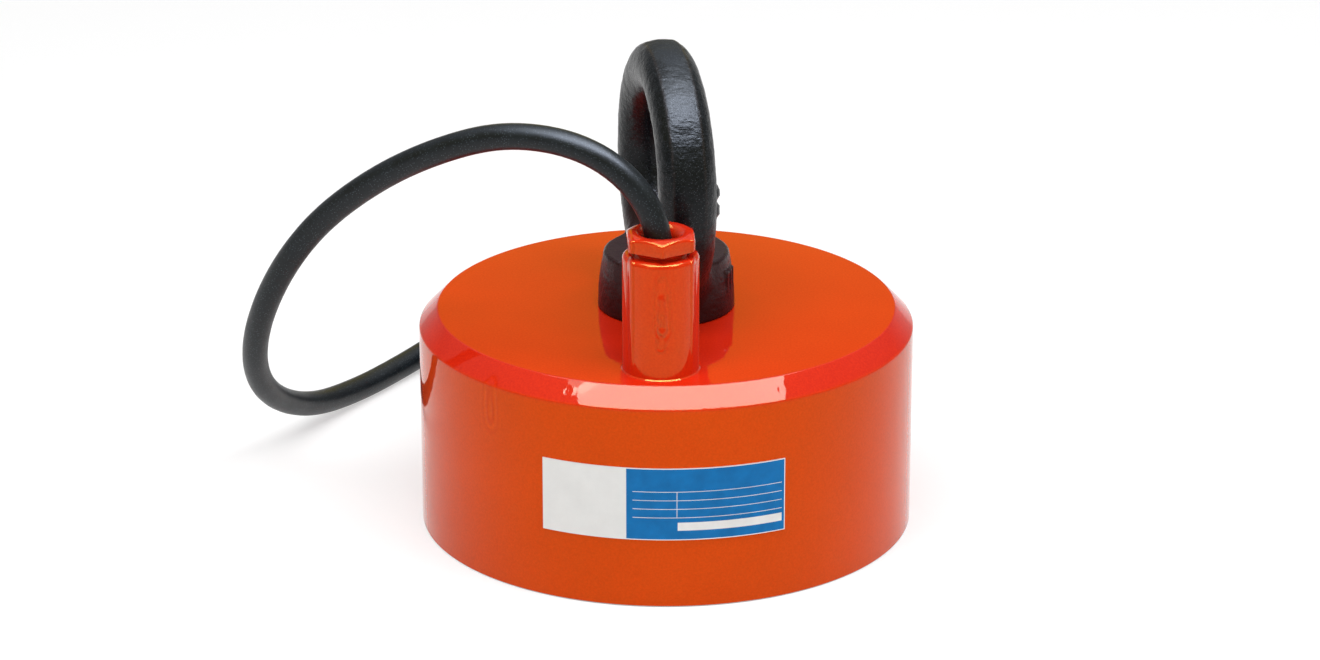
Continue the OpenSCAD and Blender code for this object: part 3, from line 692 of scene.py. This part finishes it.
thread = []
for turn in range(thread_turns):
    thread += [
        (thread_crest, thread_start - thread_pitch * turn),
        (thread_root, thread_start - thread_pitch * (turn + 0.5)),
    ]
bell = [
    (nut_bore + bell_radius - math.sqrt(bell_radius ** 2 - depth ** 2), nut_high - bell_depth + depth)
    for depth in np.linspace(bell_depth * bell_start, 0, bell_points)
]
nut_points = []
for i in range(nut_sides):
    angle = math.tau * i / nut_sides
    side = hexagon_radius(angle, nut_flats, corner_softness)
    top = nut_high - max(0, side - nut_flats / 2) * face_slope
    nut_section = [(side - inward, nut_low + rise) for inward, rise in foot_edge]
    nut_section += [(side - inward, top - fall) for inward, fall in top_edge]
    nut_section += [
        (side - crown_in, min(top + crown_rise, nut_high - crown_gap)),
        (face_radius + face_blend, nut_high - face_dip), (face_radius, nut_high),
        (bell[0][0] + bell_lip, nut_high),
    ]
    nut_section += bell + [(nut_bore, nut_end), (screw_end_radius, nut_end)]
    nut_section += thread[::-1] + [(thread_crest, nut_low)]
    bearing = angle + corner_bearing
    nut_points += [
        (radius * math.cos(bearing) / 1000, radius * math.sin(bearing) / 1000, height / 1000)
        for radius, height in nut_section
    ]
count = len(nut_section)
nut_faces = [
    (i * count + low, k * count + low, k * count + high, i * count + high)
    for i, k in line(range(nut_sides), True) for low, high in line(nut_section, True)
]
nut = new_piece("enamelled_gland_nut", nut_points, (), nut_faces)
nut.data.materials.append(boss_enamel)
tidy_mesh(nut, boss_axis, 40)
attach(nut, "root")
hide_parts("gland_nut")
washer = finish("zinc plated steel", (0.6, 0.61, 0.63), 0.3, metallic=1.0, spread=0.08)
dress("gland_washer_upper", washer)
dress("gland_washer_lower", washer)
dress("gland_packing", finish("packing rubber", (0.02, 0.02, 0.02), 0.65))


# Below the gland the cord's two cores go through a flanged bush and are crimped to the leads of
# the winding.
dress("lead_bush", finish("bush moulding", (0.75, 0.7, 0.6), 0.5, spread=0.05))
dress("core_lead_outer", finish("white core", (0.72, 0.72, 0.72), 0.35, spread=0.05))
dress("core_lead_inner", finish("black core", (0.02, 0.02, 0.02), 0.35))
crimp = finish("crimped copper", (0.55, 0.22, 0.1), 0.35, metallic=1.0)
dress("splice_sleeve_outer", crimp)
dress("splice_sleeve_inner", crimp)
varnished = finish("varnished copper", (0.45, 0.12, 0.03), 0.25, metallic=0.8)
dress("coil_tail_outer", varnished)
dress("coil_tail_inner", varnished)


# The eye bolt is one drop forging with a trimmed flash line round its ring. The ring runs down
# into the collar with soft fillets, and the skin is black, hammered and pitted. Its sizes are in
# millimetres and degrees.
ring_turn = math.radians(13)
ring_radius = 42.65
bar_radius = 11.5
trimmed_reach = 10.6
crown_radius = 21
crown_shift = 0.9
ring_centre = np.array([0, 0, 146.0])
ring_axis = np.array([math.cos(ring_turn), math.sin(ring_turn), 0])
ring_side = np.array([math.sin(ring_turn), -math.cos(ring_turn), 0])
ring_fillet = 5
collar_radius = 27.6
collar_height = 24
collar_round = 2.2
collar_draft = 2.1
collar_draft_height = 21.5
pad_turns = ((2.9, 11.4), (-6.7, 1.7))
pad_half_width = 3.5
pad_proud = 1.1
mark_bearings = (-22.5, -15, -7.5)
mark_radius = 14
mark_height = 13.2
mark_halves = (1.1, 13.4, 4.6)
pad_round = 0.5
pad_fillet = 0.4
voxel = 0.85
skin_low = pot_height + 0.05
shown_low = pot_height + 0.3
fitting_passes = 6
probe = 0.05
least_steepness = 0.25
dent_depth = 0.16
dent_scale = 0.22
ding_depth = 0.09
ding_scale = 0.6
pock_depth = 0.12
pock_scale = 1.1
pock_share = 0.25
pock_shift = Vector((9, 3, 5))
smooth_foot = 1
dented_above = 3
seam_shift = 0.75
seam_half_gap = 6.25
seam_half_width = 0.6
seam_reach = 49
seam_low = 100
forged_dark = (0.001, 0.002, 0.003, 1)
forged_light = (0.004, 0.006, 0.008, 1)
forged_dust = (0.075, 0.085, 0.095, 1)
seam_brown = (0.05, 0.035, 0.03, 1)
# Red low on the forging is partly orange overspray and partly a painted reflection of the orange top plate.
overspray_and_reflection_red = (0.026, 0.004, 0.005, 1)


def smooth_least(a, b, width):
    """Lesser of two distances, blended where they are alike."""
    share = np.clip(0.5 + 0.5 * (b - a) / width, 0, 1)
    return b + (a - b) * share - width * share * (1 - share)


def rounded(offsets, rounding):
    """Distance to a rounded corner, from the offsets past each of its sides."""
    q = offsets + rounding
    return np.linalg.norm(np.maximum(q, 0), axis=1) + np.minimum(q.max(axis=1), 0) - rounding


def forging_distance(points):
    """Distance in millimetres to the forging's skin above the pot."""
    arm = points - ring_centre
    along = arm @ ring_axis
    near = arm @ ring_side
    reach = np.hypot(near, arm[:, 2])
    circle = np.hypot(reach - ring_radius, along) - bar_radius
    trimmed = reach - ring_radius - trimmed_reach + (along - crown_shift) ** 2 / (2 * crown_radius)
    ring = np.maximum(circle, trimmed)
    turn = np.degrees(np.arctan2(arm[:, 2], near))
    for low, high in pad_turns:
        arc = np.radians(turn - (low + high) / 2) * reach
        offsets = np.abs(np.stack([arc, reach - ring_radius, along - bar_radius / 2], axis=1))
        halves = (math.radians(high - low) / 2 * ring_radius, pad_half_width, bar_radius / 2 + pad_proud)
        ring = smooth_least(ring, rounded(offsets - np.array(halves), pad_round), pad_fillet)
    radius = np.hypot(points[:, 0], points[:, 1])
    height = points[:, 2] - pot_height
    share = np.clip(height / collar_draft_height, 0, 1)
    side = collar_radius - collar_draft * share ** 2
    collar = rounded(np.stack([radius - side, height - collar_height], axis=1), collar_round)
    bearing = np.degrees(np.arctan2(points[:, 1], points[:, 0]))
    for middle in mark_bearings:
        arc = np.radians(bearing - middle) * radius
        offsets = np.abs(np.stack([arc, radius - mark_radius, height - mark_height], axis=1))
        collar = smooth_least(collar, rounded(offsets - np.array(mark_halves), pad_round), pad_fillet)
    return smooth_least(ring, collar, ring_fillet)


rough_points = np.empty(len(nodes["eye_bolt"].data.vertices) * 3)
nodes["eye_bolt"].data.vertices.foreach_get("co", rough_points)
forging = new_piece(
    "forged_eye_bolt", rough_points.reshape(-1, 3), (),
    [tuple(face.vertices) for face in nodes["eye_bolt"].data.polygons],
)
merged = bmesh.new()
merged.from_mesh(forging.data)
bmesh.ops.remove_doubles(merged, verts=merged.verts, dist=merge_distance)
merged.to_mesh(forging.data)
merged.free()
remesh = forging.modifiers.new("remesh", "REMESH")
remesh.mode = "VOXEL"
remesh.voxel_size = voxel / 1000
apply_modifier(forging, remesh)

skin_points = np.empty(len(forging.data.vertices) * 3)
forging.data.vertices.foreach_get("co", skin_points)
skin_points = skin_points.reshape(-1, 3) * 1000
shown = skin_points[:, 2] > shown_low
moving = skin_points[shown]
for fitting_pass in range(fitting_passes):
    value = forging_distance(moving)
    slope = np.stack([
        (forging_distance(moving + step) - forging_distance(moving - step)) / (2 * probe)
        for step in np.eye(3) * probe
    ], axis=1)
    steep = np.maximum((slope ** 2).sum(axis=1), least_steepness)
    moving = moving - slope * (value / steep)[:, None]
direction = slope / np.sqrt(steep)[:, None]
dents = np.array([
    dent_depth * noise.noise(Vector(point) * dent_scale)
    + ding_depth * noise.noise(Vector(point) * ding_scale)
    - pock_depth * max(0, noise.noise(Vector(point) * pock_scale + pock_shift) - pock_share)
    for point in moving
])
dented = np.clip((moving[:, 2] - pot_height - smooth_foot) / dented_above, 0, 1)
moving = moving + direction * (dents * dented)[:, None]
moving[:, 2] = np.maximum(moving[:, 2], skin_low)
skin_points[shown] = moving
forging.data.vertices.foreach_set("co", (skin_points / 1000).ravel())
forging.data.update()
forging.data.shade_smooth()

arm = skin_points - ring_centre
from_seam = np.abs(np.abs(arm @ ring_axis + seam_shift) - seam_half_gap)
on_rim = (np.hypot(arm @ ring_side, arm[:, 2]) > seam_reach) * (skin_points[:, 2] > seam_low)
seam = np.clip(1 - from_seam / seam_half_width, 0, 1) * on_rim
seam_layer = forging.data.attributes.new("seam", "FLOAT", "POINT")
seam_layer.data.foreach_set("value", seam.astype(np.float32))

forged, tree, place = new_material("black forging")
black = two_tone(tree, mottle(tree, place, 60, 5, 0.65), 0.3, forged_dark, 0.72, forged_light)
dust = remap(tree, specks(tree, place, 1400), 0.3, 0.08, 0, 0.8)
paint = blend(tree, dust, black, forged_dust)
seam_mark = add(tree, "ShaderNodeAttribute", attribute_name="seam").outputs["Fac"]
paint = blend(tree, calculate(tree, "MULTIPLY", seam_mark, 0.35), paint, seam_brown)
above_table = add(tree, "ShaderNodeSeparateXYZ", {0: place}).outputs["Z"]
# Low on the forging the black turns red: partly overspray from painting the pot, partly a painted reflection
# of the orange top plate.
paint = blend(tree, remap(tree, above_table, 0.132, 0.11, 0, 1), paint, overspray_and_reflection_red)
gritty = mottle(tree, place, 1700, 3, 0.7)
worn = remap(tree, gritty, 0.3, 0.7, 0.24, 0.38)
facing = add(tree, "ShaderNodeTexCoord").outputs["Normal"]
upward = add(tree, "ShaderNodeSeparateXYZ", {0: facing}).outputs["Z"]
settled = remap(tree, upward, 0.88, 0.98, 0, 0.35, interpolation_type="SMOOTHSTEP")
drawn = add(tree, "ShaderNodeVectorMath", {0: place, 1: (0.3, 1, 1)}, operation="MULTIPLY")
relief = bump(tree, mottle(tree, drawn.outputs[0], 620, 2, 0.6), 0.0002)
relief = bump(tree, mottle(tree, place, 420, 3, 0.6), 0.00016, relief)
relief = bump(tree, remap(tree, specks(tree, place, 520), 0.1, 0.45, 0, 1), 0.00004, relief)
relief = bump(tree, gritty, 0.00006, relief)
surface(tree, colour=paint, roughness=calculate(tree, "ADD", worn, settled), relief=relief, specular=0.22)
forging.data.materials.append(forged)
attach(forging, "root")
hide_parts("eye_bolt")


# The nameplate is thin aluminium, bent to the wall and stuck on. Its left field is bare silver,
# the right one is printed blue with ruled lines and a white strip to write on. Its sizes are in
# millimetres, along the plate and up.
plate_radius = 100.1
plate_thick = 0.4
plate_low = 28.7
plate_tall = 30
plate_long = 98
plate_middle = math.radians(1.1 - 90)
plate_start = plate_middle - plate_long / plate_radius / 2
plate_step = 1.0
rim = 0.35
silver_end = 34.5
rule_start = 37
rule_end = 96.6
rule_thick = 0.22
rule_heights = (9.3, 12.9, 16.5, 20.1)
divider = 54.1
divider_top = 20.3
strip = (54.5, rule_end, 4.0, 7.4)
bare, silver, blue, white = range(4)
fields = [
    (silver, rim, silver_end, rim, plate_tall - rim),
    (blue, silver_end, plate_long - rim, rim, plate_tall - rim),
    (white, *strip),
]
fields += [(white, rule_start, rule_end, height, height + rule_thick) for height in rule_heights]
fields += [(white, divider, divider + rule_thick, rule_heights[0], divider_top)]
marks = {0, plate_long, rim, silver_end, plate_long - rim}
marks |= {edge for field in fields for edge in field[1:3]}
marks |= set(np.arange(0, plate_long, plate_step).tolist())
across = sorted(marks)
up = sorted({0, plate_tall} | {edge for field in fields for edge in field[3:5]})
plate_points = []
for radius in (plate_radius, plate_radius + plate_thick):
    for length in across:
        angle = plate_start + length / plate_radius
        for height in up:
            plate_points.append((
                radius * math.cos(angle) / 1000, radius * math.sin(angle) / 1000,
                (plate_low + height) / 1000,
            ))
wide, tall = len(across), len(up)
faces = []
prints = []
for i in range(wide - 1):
    for k in range(tall - 1):
        here = i * tall + k
        front = wide * tall + here
        middle = ((across[i] + across[i + 1]) / 2, (up[k] + up[k + 1]) / 2)
        field = bare
        for index, left, right, low, high in fields:
            if left < middle[0] < right and low < middle[1] < high:
                field = index
        faces.append((here, here + 1, here + tall + 1, here + tall))
        prints.append(bare)
        faces.append((front, front + tall, front + tall + 1, front + 1))
        prints.append(field)
for i in range(wide - 1):
    for k, flip in ((0, False), (tall - 1, True)):
        here = i * tall + k
        side = [here, here + tall, here + tall + wide * tall, here + wide * tall]
        faces.append(tuple(side[::-1] if flip else side))
        prints.append(bare)
for k in range(tall - 1):
    for i, flip in ((0, True), (wide - 1, False)):
        here = i * tall + k
        side = [here, here + 1, here + 1 + wide * tall, here + wide * tall]
        faces.append(tuple(side[::-1] if flip else side))
        prints.append(bare)
plate = new_piece("rating_plate", plate_points, (), faces)
for face, field in zip(plate.data.polygons, prints):
    face.material_index = field
tidy_mesh(plate)
for material in (
    finish("plate aluminium", (0.72, 0.72, 0.72), 0.35, metallic=0.7, spread=0.05, grain=1500, depth=0.00001),
    finish(
        "silver print", (0.74, 0.74, 0.72), 0.45, metallic=0.15, spread=0.03, patch=120, grain=1400,
        depth=0.00003,
    ),
    finish(
        "blue print", (0.003, 0.15, 0.41), 0.4, spread=0.12, patch=150, grain=1200, depth=0.00002,
        specular=0.15,
    ),
    finish("white print", (0.76, 0.76, 0.74), 0.45, spread=0.05, patch=150, grain=1200, depth=0.00002),
):
    plate.data.materials.append(material)
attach(plate, "root")
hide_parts("nameplate")


# The object stands on a plain white table in soft studio light: a long strip softbox above the
# front, a weaker one overhead, two broad fill boxes, a pale room, and warm cards for the glossy
# top plate, a bright one behind the object and a paler one round its front.
floor_radius = 6
floor_sides = 96
floor_height = -0.0001
card_radius = 2.5
card_low = 0.5
card_columns = 20
room_shades = ((0.0, 0.5), (0.3, 0.22), (1.0, 1.0))
cool_light = (0.9, 1, 1.2)
sky_light = (0.9, 1, 1.15)
table_aim = (0, 0, 0.1)
front_aim = (0.02, -0.05, 0.1)
overhead_aim = (0, 0.04, 0.1)


def bare_material(name):
    """Starts a material without a shader, and returns it with its tree."""
    material = bpy.data.materials.new(name)
    material.use_nodes = True
    tree = material.node_tree
    tree.nodes.remove(tree.nodes["Principled BSDF"])
    return material, tree


floor_angles = [math.tau * i / floor_sides for i in range(floor_sides)]
floor = new_piece("floor", [
    (floor_radius * math.cos(angle), floor_radius * math.sin(angle), floor_height) for angle in floor_angles
], (), [tuple(range(floor_sides))])
table_white, tree = bare_material("white table")
lit = add(tree, "ShaderNodeBsdfDiffuse", {"Color": (0.8, 0.8, 0.8, 1)})
seen_part = add(tree, "ShaderNodeBsdfDiffuse", {"Color": (0.5, 0.5, 0.5, 1)})
glow = add(tree, "ShaderNodeEmission", {"Color": (1, 1, 1, 1), "Strength": 0.52})
seen = add(tree, "ShaderNodeAddShader", {0: seen_part.outputs[0], 1: glow.outputs[0]})
path = add(tree, "ShaderNodeLightPath")
direct = calculate(tree, "MAXIMUM", path.outputs["Is Camera Ray"], path.outputs["Is Glossy Ray"])
direct = calculate(tree, "MAXIMUM", direct, path.outputs["Is Transmission Ray"])
table = add(tree, "ShaderNodeMixShader", {0: direct, 1: lit.outputs[0], 2: seen.outputs[0]})
below = add(tree, "ShaderNodeNewGeometry").outputs["Backfacing"]
clear = add(tree, "ShaderNodeBsdfTransparent")
whole = add(tree, "ShaderNodeMixShader", {0: below, 1: table.outputs[0], 2: clear.outputs[0]})
tree.links.new(whole.outputs[0], tree.nodes["Material Output"].inputs["Surface"])
floor.data.materials.append(table_white)

for name, middle, half_width, top, glow_colour in (
    ("warm_card_behind", 90, 18, 1.45, (0.58, 0.46, 0.06, 1)),
    ("warm_card_front", -90, 100, 2.1, (0.36, 0.29, 0.04, 1)),
):
    bearings = np.radians(np.linspace(middle - half_width, middle + half_width, card_columns + 1))
    card = new_piece(name, [
        (card_radius * math.cos(bearing), card_radius * math.sin(bearing), height)
        for height in (card_low, top) for bearing in bearings
    ], (), [(i, i + 1, i + card_columns + 2, i + card_columns + 1) for i in range(card_columns)])
    warm, tree = bare_material(name)
    glow = add(tree, "ShaderNodeEmission", {"Color": glow_colour, "Strength": 1})
    tree.links.new(glow.outputs[0], tree.nodes["Material Output"].inputs["Surface"])
    card.data.materials.append(warm)
    card.visible_camera = False
    card.visible_diffuse = False
    card.visible_shadow = False
    card.visible_transmission = False

room = bpy.data.worlds.new("room")
bpy.context.scene.world = room
room.use_nodes = True
tree = room.node_tree
sky = add(tree, "ShaderNodeTexCoord").outputs["Generated"]
rise = add(tree, "ShaderNodeSeparateXYZ", {0: sky}).outputs["Z"]
shades = add(tree, "ShaderNodeValToRGB", {"Fac": rise})
shades.color_ramp.elements.new(room_shades[1][0])
for element, (position, shade) in zip(shades.color_ramp.elements, room_shades):
    element.position = position
    element.color = (shade, shade, shade, 1)
tree.links.new(shades.outputs["Color"], tree.nodes["Background"].inputs["Color"])


def softbox(name, place, aim, width, height, radiance, glossy=True, diffuse=True, colour=(1, 1, 1)):
    """Area lamp of that radiance, aimed at a point."""
    lamp = bpy.data.lights.new(name, "AREA")
    lamp.shape = "RECTANGLE"
    lamp.color = colour
    lamp.size = width
    lamp.size_y = height
    lamp.energy = radiance * math.pi * width * height
    box = bpy.data.objects.new(name, lamp)
    box.location = place
    box.rotation_euler = (Vector(place) - Vector(aim)).to_track_quat("Z", "Y").to_euler()
    box.visible_camera = False
    box.visible_glossy = glossy
    box.visible_diffuse = diffuse
    bpy.context.scene.collection.objects.link(box)


softbox("strip_box", (0.1, -0.39, 1.26), front_aim, 1.5, 0.38, 7.4, glossy=False)
softbox("strip_gloss", (0.105, -0.37, 1.19), front_aim, 1.5, 0.5, 17.5, diffuse=False, colour=cool_light)
softbox("sky_gloss", (-0.015, 0.08, 1.26), overhead_aim, 1.5, 0.5, 6.5, diffuse=False, colour=sky_light)
softbox("left_box", (-1.5, -1.3, 0.8), table_aim, 0.9, 0.9, 1.0, glossy=False)
softbox("right_box", (1.6, -1.2, 0.8), table_aim, 0.9, 0.9, 0.8, glossy=False)
